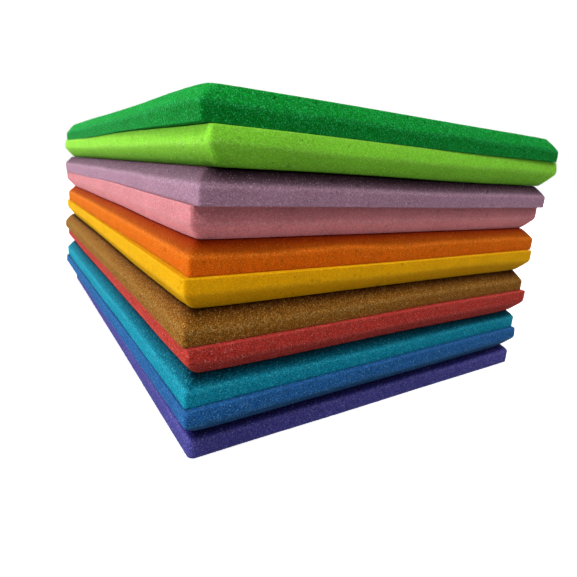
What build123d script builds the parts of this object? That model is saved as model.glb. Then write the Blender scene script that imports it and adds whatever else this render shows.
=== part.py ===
from build123d import *
import math
import os

# A stack of thick craft foam sheets, one colour each, lying loose on one another.
# Lengths are in millimetres and angles in degrees. +Z is up, +X runs along a sheet's short
# side and +Y along its long side. The origin is the centre of the bottom sheet's underside.

SHEET_WIDTH = 350.0
SHEET_LENGTH = 500.0
SHEET_THICKNESS = 20.0
LIME_THICKNESS = 22.0    # this sheet has sprung up a little fuller than the others
AIR_GAP = 0.1            # between two sheets that lie on each other

# Every edge was cut through compressed foam. It stands straight next to the cut face, and
# rolls inwards from there to the other face of the sheet.
ROLL_IN = 7.0            # from the straight edge to the rim of the rolled face
ROLL_BULGE = 0.3         # how far the roll swells out of a flat slope, halfway up it
CORNER_RADIUS = 3.0

# Each sheet from the bottom up: name, thickness, height of the straight part of its edge, how
# far it was laid off the stack's centre along X and Y, and how far it was turned.
SHEETS = [
    ("violet_sheet", SHEET_THICKNESS, 12.5, 0.0, 0.0, 0.0),
    ("blue_sheet", SHEET_THICKNESS, 10.5, -8.5, -6.5, 0.7),
    ("teal_sheet", SHEET_THICKNESS, 10.5, -7.0, -2.5, 0.6),
    ("red_sheet", SHEET_THICKNESS, 10.5, -6.0, -8.0, 0.3),
    ("brown_sheet", SHEET_THICKNESS, 9.0, -8.0, -4.0, 0.5),
    ("yellow_sheet", SHEET_THICKNESS, 9.5, -6.0, -6.0, 0.0),
    ("orange_sheet", SHEET_THICKNESS, 11.5, -2.5, -2.5, 0.2),
    ("pink_sheet", SHEET_THICKNESS, 10.0, -2.0, -1.0, 0.4),
    ("lilac_sheet", SHEET_THICKNESS, 10.5, -1.5, -6.0, 0.8),
    ("lime_sheet", LIME_THICKNESS, 10.5, 2.5, -8.0, 1.1),
    ("green_sheet", SHEET_THICKNESS, 9.5, 0.5, -8.5, 0.4),
]


def sheet_outline(recess):
    """The sheet's outline, drawn in by recess on every side."""
    RectangleRounded(SHEET_WIDTH - 2 * recess, SHEET_LENGTH - 2 * recess, CORNER_RADIUS)


def foam_sheet(name, cut_face, thickness, straight_height):
    """One sheet, built from the plane of its cut face towards its rolled face."""
    half_roll = (thickness - straight_height) / 2
    with BuildPart() as sheet:
        with BuildSketch(cut_face):
            sheet_outline(0)
        extrude(amount=straight_height)
        with BuildSketch(cut_face.offset(straight_height)):
            sheet_outline(0)
        with BuildSketch(cut_face.offset(straight_height + half_roll)):
            sheet_outline(ROLL_IN / 2 - ROLL_BULGE)
        with BuildSketch(cut_face.offset(thickness)):
            sheet_outline(ROLL_IN)
        loft(ruled=True)
    sheet.part.label = name
    export_step(sheet.part, f"parts/{name}.step")


os.makedirs("parts", exist_ok=True)

# Neighbouring sheets are laid face to face: cut face down, cut face up, and so on.
underside = 0.0
for index, (name, thickness, straight_height, shift_x, shift_y, turn) in enumerate(SHEETS):
    along_width = (math.cos(math.radians(turn)), math.sin(math.radians(turn)), 0)
    if index % 2 == 0:
        cut_face = Plane((shift_x, shift_y, underside), along_width, (0, 0, 1))
    else:
        cut_face = Plane((shift_x, shift_y, underside + thickness), along_width, (0, 0, -1))
    foam_sheet(name, cut_face, thickness, straight_height)
    underside += thickness + AIR_GAP
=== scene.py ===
import math

import bpy
import numpy as np
from mathutils import Euler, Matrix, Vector


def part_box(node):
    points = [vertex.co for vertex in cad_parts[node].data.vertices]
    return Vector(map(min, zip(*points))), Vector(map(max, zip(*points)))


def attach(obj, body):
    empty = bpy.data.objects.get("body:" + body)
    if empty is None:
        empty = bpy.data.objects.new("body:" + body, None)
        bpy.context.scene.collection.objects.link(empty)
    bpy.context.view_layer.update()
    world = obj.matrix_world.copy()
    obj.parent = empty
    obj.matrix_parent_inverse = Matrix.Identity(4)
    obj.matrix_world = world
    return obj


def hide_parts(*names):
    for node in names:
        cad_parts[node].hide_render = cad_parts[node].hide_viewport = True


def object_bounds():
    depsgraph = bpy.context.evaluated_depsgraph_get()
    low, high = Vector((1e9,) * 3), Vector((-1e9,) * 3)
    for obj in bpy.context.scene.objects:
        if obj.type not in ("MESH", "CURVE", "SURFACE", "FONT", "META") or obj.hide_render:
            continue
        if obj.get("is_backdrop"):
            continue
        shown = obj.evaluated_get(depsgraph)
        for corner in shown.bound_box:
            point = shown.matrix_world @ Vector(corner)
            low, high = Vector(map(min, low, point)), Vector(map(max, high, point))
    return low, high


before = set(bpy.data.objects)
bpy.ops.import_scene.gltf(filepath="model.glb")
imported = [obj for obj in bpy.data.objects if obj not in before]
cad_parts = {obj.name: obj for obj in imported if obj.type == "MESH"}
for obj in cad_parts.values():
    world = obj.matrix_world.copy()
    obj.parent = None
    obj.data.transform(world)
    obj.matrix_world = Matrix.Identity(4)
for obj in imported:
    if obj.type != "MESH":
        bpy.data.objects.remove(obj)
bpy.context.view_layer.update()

# A stack of loose craft foam sheets. Each CAD sheet is stood for by a finely meshed one with
# softened edges, foam grain and open pores. Lengths are in metres, MM turns millimetres into them.
MM = 0.001
WHITE = (1, 1, 1, 1)

# The sheets from the bottom up, each with its foam colour as linear red, green and blue, the painted tone
# of its rolled edge against its cut edge (painted shade below 1, painted light above 1), how strongly its
# cells differ in tone, the share of them that get a painted glint, and the share of places for a pit that
# hold one.
FOAMS = {
    "violet_sheet": ((0.094, 0.087, 0.358), 1.15, 0.90, 0.140, 0.10),
    "blue_sheet": ((0.020, 0.133, 0.365), 0.64, 0.90, 0.200, 0.10),
    "teal_sheet": ((0.006, 0.305, 0.433), 0.70, 0.85, 0.220, 0.10),
    "red_sheet": ((0.514, 0.053, 0.040), 0.90, 0.80, 0.140, 0.15),
    "brown_sheet": ((0.284, 0.119, 0.012), 1.02, 1.00, 0.340, 0.15),
    "yellow_sheet": ((0.883, 0.457, 0.002), 0.90, 0.26, 0.030, 0.12),
    "orange_sheet": ((0.767, 0.179, 0.005), 0.56, 0.45, 0.030, 0.35),
    "pink_sheet": ((0.745, 0.287, 0.315), 1.28, 0.35, 0.050, 0.10),
    "lilac_sheet": ((0.425, 0.246, 0.341), 0.50, 0.48, 0.100, 0.10),
    "lime_sheet": ((0.304, 0.772, 0.059), 0.95, 0.30, 0.080, 0.10),
    "green_sheet": ((0.001, 0.234, 0.024), 1.32, 0.85, 0.300, 0.15),
}
TOP_SHEET = "green_sheet"


# ---------------------------------------------------------------- what the CAD sheets say

TURNS = np.radians(np.arange(-3, 3, 0.01))   # the turns a sheet may have been laid at
LEVEL_DIGITS = 5              # decimals of a metre that tell two levels of a CAD sheet apart
LEVEL_SLACK = 0.02 * MM
# How far some sheets swell out at the ridge, so that their cut edge leans back.
CROWNS = {"lime_sheet": 1.2 * MM, "blue_sheet": 0.8 * MM}
# Radius of a sheet's corners, and how much it grows for each millimetre drawn in.
CORNER = (2.0 * MM, 0.2)
ROUND_CORNERS = {"violet_sheet": (4.5 * MM, 0.2), "green_sheet": (2.0 * MM, 0.55)}


def turned_extent(points, turn):
    """Lowest and highest corner of flat points, measured along axes turned by turn."""
    along = np.array([math.cos(turn), math.sin(turn)])
    across = np.array([-math.sin(turn), math.cos(turn)])
    flat = np.column_stack([points[:, :2] @ along, points[:, :2] @ across])
    return flat.min(0), flat.max(0)


def read_sheet(node):
    """Size, place, turn and edge shape of a CAD sheet, taken from its mesh."""
    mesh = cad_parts[node].data
    points = np.array([v.co for v in mesh.vertices], float)

    def footprint(turn):
        low, high = turned_extent(points, turn)
        return np.prod(high - low)

    turn = min(TURNS, key=footprint)
    low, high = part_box(node)
    levels = sorted(set(np.round(points[:, 2], LEVEL_DIGITS)))
    half_sizes = []
    for level in levels:
        on_level = np.abs(points[:, 2] - level) < LEVEL_SLACK
        ring_low, ring_high = turned_extent(points[on_level], turn)
        half_sizes.append((ring_high - ring_low) / 2)
    cut_face_up = half_sizes[-1][0] > half_sizes[0][0]
    if cut_face_up:
        levels = [levels[-1] - level for level in reversed(levels)]
        half_sizes = half_sizes[::-1]
    else:
        levels = [level - levels[0] for level in levels]
    return {
        "centre": np.array([(low.x + high.x) / 2, (low.y + high.y) / 2]),
        "turn": turn,
        "low": low.z,
        "high": high.z,
        "half": half_sizes[0],
        "cut_face_up": cut_face_up,
        "straight": levels[1],
        "roll_in": half_sizes[0][0] - half_sizes[-1][0],
        "corner": ROUND_CORNERS.get(node, CORNER),
        "crown": CROWNS.get(node, 0.0),
    }


# ---------------------------------------------------------------- the mesh of one sheet

COLUMNS = (352, 504)          # mesh columns along the short and the long side, 1 mm apart
HALVINGS = 3                  # how often the mesh coarsens from the edge to a face's middle
CUT_RIM = 0.35 * MM           # rounding where the edge meets the cut face
CUT_RIM_ANGLES = np.radians([0, 30, 60])
ROLL_RIM = 2.2 * MM           # rounding where the roll meets the rolled face
ROLL_RIM_SHARES = (0.33, 0.67, 1.0)
STRAIGHT_ROWS = 10            # mesh rows up the straight part of an edge
ROLL_ROWS = 11                # mesh rows up its roll
RIM_WIDTH = 1.5 * MM          # how far the painted highlight on the cut rim fades up the edge
RIDGE_SOFTNESS = 1.6 * MM     # half the height over which the straight edge turns into the roll
ROLL_BULGE = 0.3 * MM
CORNER_PINCH = 1.0 * MM       # how much further the soft corners of the roll are drawn in
PINCH_REACH = 14.0 * MM       # how far from a corner that fades
FACE_INSETS = (1.2 * MM, 3.0 * MM, 7.0 * MM, 15.0 * MM)   # rings of the flat faces, from the rim
ROLL_SHADE_FADES = (0.85, 0.6, 0.3, 0.0)   # how far the roll's painted shade and light go on over its flat face, at each ring


def outline_columns(nx, ny):
    """Points round a square from -1 to 1, counterclockwise from its lower left corner."""
    along_x = np.linspace(-1, 1, nx, endpoint=False)
    along_y = np.linspace(-1, 1, ny, endpoint=False)
    sides = [(along_x, -1), (1, along_y), (-along_x, 1), (-1, -along_y)]
    return np.concatenate([np.column_stack(np.broadcast_arrays(x, y)) for x, y in sides])


def ring(columns, sheet, inset):
    """A rounded rectangle through the given columns, drawn in by inset (one value or one each)."""
    inset = np.broadcast_to(inset, len(columns))[:, None]
    corner_radius, corner_growth = sheet["corner"]
    radius = corner_radius + corner_growth * np.maximum(inset, 0)
    sharp = columns * (sheet["half"] - inset)
    room = sheet["half"] - inset - radius
    core = np.clip(sharp, -room, room)
    away = sharp - core
    return core + radius * away / np.linalg.norm(away, axis=1)[:, None]


def roll_inset(height, straight, thickness, roll_in):
    """How far the edge lies inside the outline at a height above the cut face."""
    slope = roll_in / (thickness - straight)
    past = height - straight
    soft = np.clip(past + RIDGE_SOFTNESS, 0, 2 * RIDGE_SOFTNESS) ** 2 / (4 * RIDGE_SOFTNESS)
    ramp = np.where(past > RIDGE_SOFTNESS, past, soft)
    share = np.clip(past / (thickness - straight), 0, 1)
    return slope * ramp - 4 * ROLL_BULGE * share * (1 - share)


def edge_rows(sheet, straight, roll_in):
    """Heights above the cut face, insets and ridge weights: one row per mesh row up the edge."""
    thickness = sheet["high"] - sheet["low"]
    heights, insets, ridges = [], [], []

    def add(height, inset, ridge=0.0):
        heights.append(height + 0 * straight)
        insets.append(inset + 0 * straight)
        ridges.append(ridge + 0 * straight)

    for angle in CUT_RIM_ANGLES:
        add(CUT_RIM * (1 - math.cos(angle)), CUT_RIM * (1 - math.sin(angle)))
    roll_top = roll_inset(thickness, straight, thickness, roll_in)
    just_below = roll_inset(thickness - MM, straight, thickness, roll_in)
    lean = np.arctan((roll_top - just_below) / MM)
    roll_start = straight - RIDGE_SOFTNESS
    roll_end = thickness - ROLL_RIM * (1 - np.sin(lean))
    for share in np.linspace(0, 1, STRAIGHT_ROWS, endpoint=False):
        add(CUT_RIM + share * (roll_start - CUT_RIM), 0.0)
    for share in np.linspace(0, 1, ROLL_ROWS):
        height = roll_start + share * (roll_end - roll_start)
        inset = roll_inset(height, straight, thickness, roll_in)
        add(height, inset, np.exp(-((height - straight) / RIDGE_SOFTNESS) ** 2))
    end_inset = insets[-1]
    for share in ROLL_RIM_SHARES:
        angle = lean + share * (math.pi / 2 - lean)
        add(thickness - ROLL_RIM * (1 - np.sin(angle)),
            end_inset + ROLL_RIM * (np.cos(lean) - np.cos(angle)))
    heights, insets = np.array(heights), np.array(insets)
    up_straight = np.clip(heights / straight, 0, 1)
    up_roll = np.clip((heights - straight) / (thickness - straight), 0, 1)
    insets -= sheet["crown"] * (1 - (1 - up_straight) ** 2) * (1 - up_roll)
    return heights, insets, np.array(ridges)


def bands_between(a, count_a, b, count_b):
    """Faces between two rings that start at vertices a and b, where one may have twice the columns."""
    if count_a == count_b:
        after = [(i + 1) % count_a for i in range(count_a)]
        return [(a + i, a + after[i], b + after[i], b + i) for i in range(count_a)]
    faces = []
    if count_a > count_b:
        for i in range(count_b):
            first, middle, last = a + 2 * i, a + 2 * i + 1, a + (2 * i + 2) % count_a
            near, far = b + i, b + (i + 1) % count_b
            faces += [(first, middle, near), (middle, far, near), (middle, last, far)]
        return faces
    for i in range(count_a):
        first, middle, last = b + 2 * i, b + 2 * i + 1, b + (2 * i + 2) % count_b
        near, far = a + i, a + (i + 1) % count_a
        faces += [(near, middle, first), (near, far, middle), (far, last, middle)]
    return faces


def face_middle(start, ring_start, nx, ny, upward):
    """Grid faces that fill the ring of a flat face, with new vertices numbered from start."""
    grid = np.zeros((nx + 1, ny + 1), int)
    grid[1:-1, 1:-1] = start + np.arange((nx - 1) * (ny - 1)).reshape(nx - 1, ny - 1)
    grid[:nx, 0] = ring_start + np.arange(nx)
    grid[nx, :ny] = ring_start + nx + np.arange(ny)
    grid[nx:0:-1, ny] = ring_start + nx + ny + np.arange(nx)
    grid[0, ny:0:-1] = ring_start + 2 * nx + ny + np.arange(ny)
    corners = [grid[:-1, :-1], grid[1:, :-1], grid[1:, 1:], grid[:-1, 1:]]
    if not upward:
        corners.reverse()
    return np.stack([c.ravel() for c in corners], axis=1).tolist()


def middle_points(half, inset, nx, ny):
    """The vertices inside a flat face's innermost ring, in the order face_middle numbers them."""
    x = np.linspace(-1, 1, nx + 1)[1:-1] * (half[0] - inset)
    y = np.linspace(-1, 1, ny + 1)[1:-1] * (half[1] - inset)
    return np.stack(np.meshgrid(x, y, indexing="ij"), axis=-1).reshape(-1, 2)


def at_height(flat, height):
    """Flat points lifted to a height (one value or one each)."""
    return np.column_stack([flat, np.broadcast_to(height, len(flat))])


def flat_face_rings(sheet, rim_inset, height):
    """The rings of a flat face from its rim inwards, the later ones with ever fewer columns."""
    nx, ny = COLUMNS
    rings = []
    for step in range(HALVINGS + 1):
        columns = outline_columns(nx >> step, ny >> step)
        rings.append(at_height(ring(columns, sheet, rim_inset + FACE_INSETS[step]), height))
    return rings


# ---------------------------------------------------------------- how soft sheets lie

# Random waves: how many are laid over one another, and their shortest and longest length.
SEAM_WAVES = (5, 0.16, 0.5)
RIDGE_WAVES = (5, 0.08, 0.3)
OUTLINE_WAVES = (4, 0.12, 0.4)
SEAM_WAVE = 0.45 * MM         # how far the seams between sheets wander up and down
RIDGE_WAVE = 0.5 * MM         # how far the ridge along an edge wanders up and down
OUTLINE_WAVE = 0.35 * MM      # how far an edge wanders in and out
LIFT = 0.6 * MM               # height of the open gap under the top sheet's near corner
LIFT_START = 0.5              # where along the side the gap starts, as a share of its length
LIFT_END = 20 * MM            # how far from the corner the gap has its full height
LIFT_WIDTH = 12.0 * MM        # how far in from the side the gap reaches
GRAIN = 0.04 * MM             # roughness of the cut foam, vertex by vertex
ORANGE_PEEL = 0.15 * MM       # softer unevenness, a few millimetres wide, before it is smoothed
PORES_PER_SHEET = 90
PORE_DEPTH = (0.35 * MM, 0.9 * MM)
PORE_RADIUS = (0.7, 1.1)      # in millimetres
SEAM_SEED = 20
SHEET_SEED = 100              # the seed of the lowest sheet


def slow_waves(rng, count, shortest, longest):
    """A smooth random field over the plan, about -1 to 1, as a function of points in metres."""
    angles = rng.uniform(0, 2 * math.pi, count)
    lengths = rng.uniform(shortest, longest, count)
    phases = rng.uniform(0, 2 * math.pi, count)
    directions = np.column_stack([np.cos(angles), np.sin(angles)]) * (2 * math.pi / lengths)[:, None]

    def field(points):
        return np.sin(points @ directions.T + phases).sum(1) / math.sqrt(count)

    return field


def smooth_step(value, start, end):
    """Rises smoothly from 0 at start to 1 at end."""
    share = np.clip((value - start) / (end - start), 0, 1)
    return share * share * (3 - 2 * share)


def seam_height(index, points):
    """How far seam number index, counted from the floor, stands off its flat place."""
    if index == 0:
        return np.zeros(len(points))
    return SEAM_WAVE * seams[index](points)


def corner_lift(points):
    """How far the top sheet has sprung clear of the one below, along one side near a corner."""
    low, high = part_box(TOP_SHEET)
    along = smooth_step(points[:, 1], high.y - LIFT_START * (high.y - low.y), low.y + LIFT_END)
    across = np.exp(-((points[:, 0] - low.x) / LIFT_WIDTH) ** 2)
    return LIFT * along * across


def smoothed(noise):
    """Noise over rows and columns, averaged with its neighbours twice."""
    for _ in range(2):
        noise = (noise + np.roll(noise, 1, 1) + np.roll(noise, -1, 1)) / 3
        padded = np.pad(noise, ((1, 1), (0, 0)), mode="edge")
        noise = (padded[:-2] + padded[1:-1] + padded[2:]) / 3
    return noise


def grid_normals(band):
    """Unit normals of a band of rows by columns that closes on itself."""
    along = np.roll(band, -1, 1) - np.roll(band, 1, 1)
    up = np.gradient(band, axis=0)
    normal = np.cross(along, up)
    return normal / np.linalg.norm(normal, axis=2)[:, :, None]


def roughen(band, rng):
    """Adds grain and open pores to the rows of an edge, and returns how deep in a pore each point is."""
    rows, columns, _ = band.shape
    normals = grid_normals(band)
    lift = GRAIN * rng.normal(size=(rows, columns))
    lift += ORANGE_PEEL * smoothed(rng.normal(size=(rows, columns)))
    pores = np.zeros((rows, columns))
    for _ in range(PORES_PER_SHEET):
        row = rng.integers(3, rows - 3)
        column = rng.integers(columns)
        depth = rng.uniform(*PORE_DEPTH)
        radius = rng.uniform(*PORE_RADIUS) * MM
        near_rows = np.arange(row - 2, row + 3)
        near_columns = np.arange(column - 2, column + 3) % columns
        near = np.ix_(near_rows, near_columns)
        distance = np.linalg.norm(band[near] - band[row, column], axis=2)
        pores[near] = np.maximum(pores[near], depth * np.exp(-(distance / radius) ** 2))
    fade = np.ones(rows)
    fade[[0, -1]] = 0
    fade[[1, -2]] = 0.5
    band += normals * ((lift - pores) * fade[:, None])[:, :, None]
    return pores / PORE_DEPTH[1]


def settled(points, node, index, rng):
    """The points of a sheet, standing on its lower face at the origin, taken to its place in the stack."""
    sheet = sheets[node]
    share = np.clip(points[:, 2] / (sheet["high"] - sheet["low"]), 0, 1)
    cosine, sine = math.cos(sheet["turn"]), math.sin(sheet["turn"])
    flat = points[:, :2] @ np.array([[cosine, sine], [-sine, cosine]]) + sheet["centre"]
    below = seam_height(index, flat)
    above = seam_height(index + 1, flat)
    height = points[:, 2] + (sheet["low"] + below + share * (above - below))
    if node == TOP_SHEET:
        height += corner_lift(flat)
    sway = [slow_waves(rng, *OUTLINE_WAVES) for _ in range(2)]
    x = flat[:, 0] + OUTLINE_WAVE * sway[0](flat)
    y = flat[:, 1] + OUTLINE_WAVE * sway[1](flat)
    return np.column_stack([x, y, height])


def build_sheet(node, index):
    """The foam sheet that stands for a CAD node, index sheets above the floor."""
    sheet = sheets[node]
    rng = np.random.default_rng(SHEET_SEED + index)
    thickness = sheet["high"] - sheet["low"]
    columns = outline_columns(*COLUMNS)
    plan = columns * sheet["half"]
    straight = sheet["straight"] + RIDGE_WAVE * slow_waves(rng, *RIDGE_WAVES)(plan)
    from_corner = (sheet["half"] - np.abs(plan)).sum(1)
    roll_in = sheet["roll_in"] + CORNER_PINCH * np.exp(-(from_corner / PINCH_REACH) ** 2)
    heights, insets, ridges = edge_rows(sheet, straight, roll_in)
    rim_inset = insets[-1].max()

    band = np.stack([at_height(ring(columns, sheet, inset), height)
                     for height, inset in zip(heights, insets)])
    pores = roughen(band, rng)

    # Rings from the middle of the cut face, out and up the edge, to the middle of the rolled face.
    parts = flat_face_rings(sheet, CUT_RIM, 0.0)[::-1]
    first_edge_part = len(parts)
    parts += list(band)
    first_roll_part = len(parts)
    parts += flat_face_rings(sheet, rim_inset, thickness)
    counts = [len(part) for part in parts]
    starts = np.concatenate([[0], np.cumsum(counts)]).tolist()
    faces = []
    for a in range(len(parts) - 1):
        faces += bands_between(starts[a], counts[a], starts[a + 1], counts[a + 1])

    mx, my = (count >> HALVINGS for count in COLUMNS)
    middle = middle_points(sheet["half"], CUT_RIM + FACE_INSETS[HALVINGS], mx, my)
    parts.append(at_height(middle, 0.0))
    faces += face_middle(starts[-1], 0, mx, my, upward=False)
    middle = middle_points(sheet["half"], rim_inset + FACE_INSETS[HALVINGS], mx, my)
    parts.append(at_height(middle, thickness))
    faces += face_middle(starts[-1] + len(middle), starts[-2], mx, my, upward=True)
    points = np.concatenate(parts)

    # Over if the cut face is up, then into the stack.
    if sheet["cut_face_up"]:
        points[:, 2] = thickness - points[:, 2]
        faces = [face[::-1] for face in faces]
    points = settled(points, node, index, rng)

    mesh = bpy.data.meshes.new(f"{node}_foam")
    mesh.from_pydata(points.tolist(), [], faces)
    mesh.shade_smooth()
    edge_points = slice(starts[first_edge_part], starts[first_roll_part])
    rims = np.exp(-heights / RIM_WIDTH)
    rolls = smooth_step(heights, straight - RIDGE_SOFTNESS / 2, straight + 2 * RIDGE_SOFTNESS)
    for name, values in (("rim", rims), ("ridge", ridges), ("roll", rolls), ("pore", pores)):
        weights = np.zeros(len(points), np.float32)
        weights[edge_points] = values.ravel()
        # The roll weight also carries the roll's painted shade and light onto the rings of the rolled
        # face.
        if name == "roll":
            for part, fade in enumerate(ROLL_SHADE_FADES, first_roll_part):
                weights[starts[part]:starts[part + 1]] = fade
        mesh.attributes.new(name, "FLOAT", "POINT").data.foreach_set("value", weights)
    piece = bpy.data.objects.new(f"{node}_foam", mesh)
    bpy.context.scene.collection.objects.link(piece)
    return piece


# ---------------------------------------------------------------- foam material

CELL = 0.58                   # width of a foam cell, in millimetres
CLUMPS = {"Scale": 0.9, "Detail": 3.0}     # noise that gathers cells into clumps
MOTTLE = {"Scale": 0.04, "Detail": 2.0}    # slow noise over the whole sheet
NOISE_RANGE = (0.3, 0.7)      # the values that such noise mostly takes
CELL_SWING = 0.5              # how far cells differ in tone, either way, in the grainiest sheet
CLUMP_SWING = 0.10            # the same for clumps
MOTTLE_SWING = 0.04           # and for the mottling, in every sheet

GROOVE_REACH = 14.0 * MM      # how far off foam still shades a groove
GROOVE_SAMPLES = 4
GROOVE_OPENNESS = (0.50, 0.95)   # share of open sky that counts as deep in a groove and outside it
GROOVE_SHADE = 0.40           # painted shade: tone of a roll deep in a groove, against the same roll outside it
GROOVE_SHADES = {"orange_sheet": 0.80, "pink_sheet": 0.90, "lilac_sheet": 0.05}   # the exceptions
SEAM_SHADE = 0.80             # the same painted shade for the cut part of an edge
GROOVE_SHADE_DEEPENING = 1.0        # painted shade: how much deeper the colour of a roll that faces up grows in a groove

PIT_SPACING = 4.0             # between the places where the foam may have a pit, in millimetres
PIT_SIZE = (0.04, 0.14)       # radius of the smallest and the largest pit, as a share of the spacing
# Painted shade inside pits and pores: how far each is darkened towards the tone below.
PIT_DARKNESS = 0.7
PORE_DARKNESS = 0.4
PIT_SHADE_TONE = (0.25, 0.25, 0.25, 1)   # painted shade in the darkest pit, against the foam round it

GLINT_FALLOFF = 1.4           # the higher, the fewer of the glinting cell walls glint strongly
GLINT_GAMMA = 0.5             # takes a foam colour to that of its glints
GLINT_PALENESS = 0.01         # how near to white the painted glints of the brightest cell walls are
BROKEN_CLUMPS = (0.42, 0.62)  # clump noise where the broken-up painted highlight of a ridge starts, and where it is full
BROKEN_GLINTS = 2.2           # how many more cells get a painted glint where a ridge has that highlight
RIM_HIGHLIGHT = 0.08               # painted highlight: how far the cut rim has gone to the colour of glints
RIDGE_HIGHLIGHT = 0.25             # the same painted highlight for the broken-up stretches of a ridge

GLOSS = 0.2
GLOSS_PALENESS = 0.3          # how near to white the foam's faint gloss is
ROUGHNESS = (0.75, 0.95)
SCATTER_SHARE = 0.5           # share of the light that is scattered under the surface
SCATTER_REACH = 2.2 * MM
SHEEN = 0.05
SHEEN_ROUGHNESS = 0.6
BUMP = {"Strength": 0.7, "Distance": 0.3 * MM}
CLUMP_BUMP = 0.6              # height of a clump, against that of a cell
PIT_BUMP = 2.0                # depth of a pit, against the height of a cell


class Nodes:
    """Short calls for building a node tree."""

    def __init__(self, tree):
        self.tree = tree

    def add(self, kind, inputs=None, **settings):
        node = self.tree.nodes.new(kind)
        for name, value in settings.items():
            setattr(node, name, value)
        for name, value in (inputs or {}).items():
            if isinstance(value, bpy.types.NodeSocket):
                self.tree.links.new(value, node.inputs[name])
            else:
                node.inputs[name].default_value = value
        return node

    def attribute(self, name):
        return self.add("ShaderNodeAttribute", attribute_name=name).outputs["Fac"]

    def math(self, operation, a, b=0.0, c=0.0):
        return self.add("ShaderNodeMath", {0: a, 1: b, 2: c}, operation=operation).outputs[0]

    def ramp(self, value, low, high, to_low=0.0, to_high=1.0):
        inputs = {"Value": value, "From Min": low, "From Max": high, "To Min": to_low, "To Max": to_high}
        return self.add("ShaderNodeMapRange", inputs).outputs["Result"]

    def swing(self, noise, size):
        """Noise turned into a tone from 1 - size to 1 + size."""
        return self.ramp(noise, *NOISE_RANGE, 1 - size, 1 + size)

    def gamma(self, colour, gamma):
        return self.add("ShaderNodeGamma", {"Color": colour, "Gamma": gamma}).outputs[0]

    def grey(self, tone):
        return self.add("ShaderNodeCombineColor", {0: tone, 1: tone, 2: tone}).outputs[0]

    def mix(self, factor, a, b, blend="MIX"):
        node = self.add("ShaderNodeMix", data_type="RGBA", blend_type=blend)
        for socket, value in ((node.inputs[0], factor), (node.inputs[6], a), (node.inputs[7], b)):
            if isinstance(value, bpy.types.NodeSocket):
                self.tree.links.new(value, socket)
            else:
                socket.default_value = value
        return node.outputs[2]


def new_tree(owner):
    """Short calls on the emptied node tree of a material or a world."""
    owner.use_nodes = True
    owner.node_tree.nodes.clear()
    return Nodes(owner.node_tree)


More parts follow.
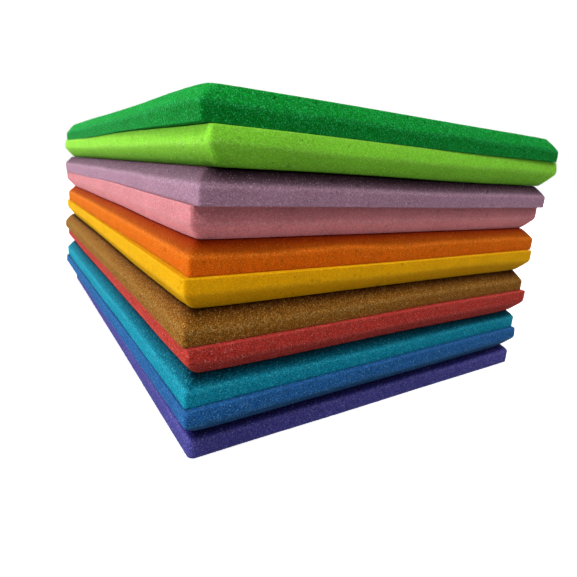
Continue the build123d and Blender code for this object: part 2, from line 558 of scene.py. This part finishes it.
def foam_material(node, colour, roll_shade, grain, glint_share, pit_share):
    """Foam of a colour, for the sheet that stands for a CAD node."""
    material = bpy.data.materials.new(f"{node}_foam")
    n = new_tree(material)
    place = n.add("ShaderNodeTexCoord").outputs["Object"]
    in_mm = n.add("ShaderNodeVectorMath", {0: place, "Scale": 1 / MM}, operation="SCALE").outputs[0]
    cells = n.add("ShaderNodeTexVoronoi", {"Vector": in_mm, "Scale": 1 / CELL})
    cell_tone = n.add("ShaderNodeSeparateColor", {0: cells.outputs["Color"]})
    clumps = n.add("ShaderNodeTexNoise", {"Vector": in_mm, **CLUMPS}).outputs["Fac"]
    mottle = n.add("ShaderNodeTexNoise", {"Vector": in_mm, **MOTTLE}).outputs["Fac"]
    pits = n.add("ShaderNodeTexVoronoi", {"Vector": in_mm, "Scale": 1 / PIT_SPACING})
    pit_tone = n.add("ShaderNodeSeparateColor", {0: pits.outputs["Color"]})
    rim, ridge, roll, pore = (n.attribute(name) for name in ("rim", "ridge", "roll", "pore"))

    # Tone: each cell a little lighter or darker, clumps and slow mottling over it.
    tone = n.ramp(cell_tone.outputs[0], 0, 1, 1 - CELL_SWING * grain, 1 + CELL_SWING * grain)
    tone = n.math("MULTIPLY", tone, n.swing(clumps, CLUMP_SWING * grain))
    tone = n.math("MULTIPLY", tone, n.swing(mottle, MOTTLE_SWING))

    # Painted shade in grooves, where the AO node finds little open sky: a roll is darkened from its own
    # painted tone, the cut part of an edge less so, and a roll that faces up gets a deeper colour there.
    sky = n.add("ShaderNodeAmbientOcclusion", {"Distance": GROOVE_REACH}, samples=GROOVE_SAMPLES)
    open_sky = n.ramp(sky.outputs["AO"], *GROOVE_OPENNESS)
    deep_shade = GROOVE_SHADES.get(node, GROOVE_SHADE)
    on_roll = n.ramp(open_sky, 0, 1, deep_shade * roll_shade, roll_shade)
    on_cut = n.ramp(open_sky, 0, 1, SEAM_SHADE, 1)
    groove = n.math("ADD", n.math("MULTIPLY", roll, on_roll),
                    n.math("MULTIPLY", n.math("SUBTRACT", 1, roll), on_cut))
    tone = n.math("MULTIPLY", tone, groove)
    depth = n.math("MULTIPLY", roll, n.math("SUBTRACT", 1, open_sky))
    shade_deepening = 0.0 if sheets[node]["cut_face_up"] else GROOVE_SHADE_DEEPENING
    base = n.gamma((*colour, 1.0), n.ramp(depth, 0, 1, 1, 1 + shade_deepening))
    base = n.mix(1.0, base, n.grey(tone), "MULTIPLY")

    # Painted shade: pits and pores are darker inside.
    pit_radius = n.ramp(pit_tone.outputs[1], 0, 1, *PIT_SIZE)
    pit = n.math("LESS_THAN", pits.outputs["Distance"], pit_radius)
    pit = n.math("MULTIPLY", pit, n.math("LESS_THAN", pit_tone.outputs[0], pit_share))
    pit_shade = n.math("MAXIMUM", n.math("MULTIPLY", pit, PIT_DARKNESS),
                  n.math("MULTIPLY", pore, PORE_DARKNESS))
    base = n.mix(pit_shade, base, n.mix(1.0, base, PIT_SHADE_TONE, "MULTIPLY"))

    # Painted highlights: cut rims and broken-up stretches of ridge are paler, and some cell walls get a
    # painted glint, a few strongly.
    broken = n.math("MULTIPLY", ridge, n.ramp(clumps, *BROKEN_CLUMPS))
    first_glint = n.ramp(broken, 0, 1, 1 - glint_share, 1 - BROKEN_GLINTS * glint_share)
    glint = n.math("POWER", n.ramp(cell_tone.outputs[1], first_glint, 1.0), GLINT_FALLOFF)
    rim_and_ridge_highlight = n.math("MAXIMUM", n.math("MULTIPLY", rim, RIM_HIGHLIGHT), n.math("MULTIPLY", broken, RIDGE_HIGHLIGHT))
    bright = n.mix(GLINT_PALENESS, n.gamma(base, GLINT_GAMMA), WHITE)
    base = n.mix(n.math("MAXIMUM", glint, rim_and_ridge_highlight), base, bright)

    height = n.math("ADD", cells.outputs["Distance"], n.math("MULTIPLY", clumps, CLUMP_BUMP))
    height = n.math("SUBTRACT", height, n.math("MULTIPLY", pit, PIT_BUMP))
    bump = n.add("ShaderNodeBump", {"Height": height, **BUMP})
    shader = n.add("ShaderNodeBsdfPrincipled", {
        "Base Color": base,
        "Roughness": n.ramp(clumps, *NOISE_RANGE, *ROUGHNESS),
        "Specular IOR Level": GLOSS,
        "Specular Tint": n.mix(GLOSS_PALENESS, bright, WHITE),
        "Subsurface Weight": SCATTER_SHARE,
        "Subsurface Radius": (1.0, 1.0, 1.0),
        "Subsurface Scale": SCATTER_REACH,
        "Sheen Weight": SHEEN,
        "Sheen Tint": base,
        "Sheen Roughness": SHEEN_ROUGHNESS,
        "Normal": bump.outputs["Normal"],
    })
    n.add("ShaderNodeOutputMaterial", {"Surface": shader.outputs[0]})
    return material


# ---------------------------------------------------------------- floor, light and camera

FLOOR_REACH = 12.0            # half the width of the floor
FLOOR_DROP = 0.3 * MM         # how far the floor lies below the stack
FLOOR_TONE = (0.90, 0.96)
FLOOR_BOUNCE = 0.55           # how brightly the floor lights the sheets, against how the camera sees it
FLOOR_GRAIN = {"Scale": 40.0, "Detail": 4.0}
GLOW = (0.50, 1.0)            # the glow the camera sees on the floor, near the stack and far off
GLOW_REACH = (0.4, 1.4)       # how far from the middle of the stack it starts and stops growing
AMBIENT = 0.03
CONTRAST = 1.14               # exponent of the picture's tone curve

LIGHT_DISTANCE = 8.0
# Soft lights: degrees round from +X, degrees up, degrees wide and high as seen from the stack,
# and brightness.
SOFTBOXES = {
    "key": (215, 55, 23, 20, 12.4),
    "key_skirt": (215, 32, 34, 25, 0.9),
    "low_window": (172, 6, 43, 12, 9.4),
    "left_rim": (115, 14, 50, 26, 2.0),
    "overhead": (268, 69, 24, 18, 1.5),
    "right_fill": (317, 45, 60, 30, 1.4),
    "back_fill": (50, 45, 60, 30, 2.5),
}

CAMERA_OFFSET = Vector((-84.0, -229.9, 182.6)) * MM   # from the bottom sheet's near lower corner
CAMERA_AZIMUTH = math.radians(33.36)   # clockwise from +Y
CAMERA_TILT = math.radians(15.30)      # below level
CAMERA_ROLL = math.radians(3.59)
LENS = 27.23                  # in millimetres, for a sensor 36 wide
SENSOR = 36.0
NEAREST_SEEN = 0.01
FOCUS_HEIGHT = 0.12           # above the same corner
APERTURE = 22.0


def floor_material():
    """Pale matt board that the camera sees as nearly white and that lights the sheets less."""
    material = bpy.data.materials.new("floor")
    n = new_tree(material)
    seen = n.add("ShaderNodeLightPath").outputs["Is Camera Ray"]
    grain = n.add("ShaderNodeTexNoise", FLOOR_GRAIN)
    tone = n.ramp(grain.outputs["Fac"], 0, 1, *FLOOR_TONE)
    tone = n.math("MULTIPLY", tone, n.ramp(seen, 0, 1, FLOOR_BOUNCE, 1.0))
    board = n.add("ShaderNodeBsdfDiffuse", {"Color": n.grey(tone)})
    place = n.add("ShaderNodeNewGeometry").outputs["Position"]
    away = n.add("ShaderNodeVectorMath", {0: place}, operation="LENGTH").outputs["Value"]
    strength = n.math("MULTIPLY", seen, n.ramp(away, *GLOW_REACH, *GLOW))
    glow = n.add("ShaderNodeEmission", {"Strength": strength})
    both = n.add("ShaderNodeAddShader", {0: board.outputs[0], 1: glow.outputs[0]})
    n.add("ShaderNodeOutputMaterial", {"Surface": both.outputs[0]})
    return material


def make_floor():
    """A wide floor just below the stack."""
    mesh = bpy.data.meshes.new("floor")
    reach = FLOOR_REACH
    corners = [(-reach, -reach, 0), (reach, -reach, 0), (reach, reach, 0), (-reach, reach, 0)]
    mesh.from_pydata(corners, [], [(0, 1, 2, 3)])
    mesh.materials.append(floor_material())
    floor = bpy.data.objects.new("floor", mesh)
    bpy.context.scene.collection.objects.link(floor)
    floor.location.z = -FLOOR_DROP
    floor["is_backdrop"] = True


def make_world():
    """White to the camera and a faint glow to everything else."""
    world = bpy.data.worlds.new("studio")
    bpy.context.scene.world = world
    n = new_tree(world)
    seen = n.add("ShaderNodeLightPath").outputs["Is Camera Ray"]
    strength = n.ramp(seen, 0, 1, AMBIENT, 1.0)
    background = n.add("ShaderNodeBackground", {"Color": WHITE, "Strength": strength})
    n.add("ShaderNodeOutputWorld", {"Surface": background.outputs[0]})


def make_softbox(name, azimuth, elevation, wide, high, brightness):
    """An area light that looks at the middle of the stack."""
    light = bpy.data.lights.new(name, "AREA")
    light.shape = "RECTANGLE"
    light.size = 2 * LIGHT_DISTANCE * math.tan(math.radians(wide / 2))
    light.size_y = 2 * LIGHT_DISTANCE * math.tan(math.radians(high / 2))
    light.energy = brightness * math.pi * light.size * light.size_y
    low_corner, high_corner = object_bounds()
    middle = (low_corner + high_corner) / 2
    turn = Euler((0, -math.radians(elevation), math.radians(azimuth)))
    away = turn.to_matrix() @ Vector((1, 0, 0))
    box = bpy.data.objects.new(name, light)
    box.location = middle + away * LIGHT_DISTANCE
    box.rotation_mode = "QUATERNION"
    box.rotation_quaternion = away.to_track_quat("Z", "Y")
    bpy.context.scene.collection.objects.link(box)


def make_camera():
    """Close to the near corner of the stack, a little below its top, with a phone's wide lens."""
    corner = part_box("violet_sheet")[0]
    data = bpy.data.cameras.new("camera")
    data.sensor_width = SENSOR
    data.lens = LENS
    data.clip_start = NEAREST_SEEN
    camera = bpy.data.objects.new("camera", data)
    camera.location = corner + CAMERA_OFFSET
    camera.rotation_mode = "XYZ"
    aim = Euler((math.pi / 2 - CAMERA_TILT, 0, -CAMERA_AZIMUTH)).to_matrix()
    camera.rotation_euler = (aim @ Euler((0, 0, CAMERA_ROLL)).to_matrix()).to_euler()
    bpy.context.scene.collection.objects.link(camera)
    bpy.context.scene.camera = camera
    focus = bpy.data.objects.new("focus", None)
    focus.location = corner + Vector((0, 0, FOCUS_HEIGHT))
    bpy.context.scene.collection.objects.link(focus)
    data.dof.use_dof = True
    data.dof.focus_object = focus
    data.dof.aperture_fstop = APERTURE


# ---------------------------------------------------------------- the scene

seam_rng = np.random.default_rng(SEAM_SEED)
sheets = {node: read_sheet(node) for node in FOAMS}
seams = [slow_waves(seam_rng, *SEAM_WAVES) for _ in range(len(sheets) + 1)]

for index, (node, foam) in enumerate(FOAMS.items()):
    piece = build_sheet(node, index)
    piece.data.materials.append(foam_material(node, *foam))
    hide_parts(node)
    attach(piece, node)

make_floor()
make_world()
for name, softbox in SOFTBOXES.items():
    make_softbox(name, *softbox)
make_camera()
bpy.context.scene.view_settings.view_transform = "Standard"
bpy.context.scene.view_settings.gamma = 1 / CONTRAST
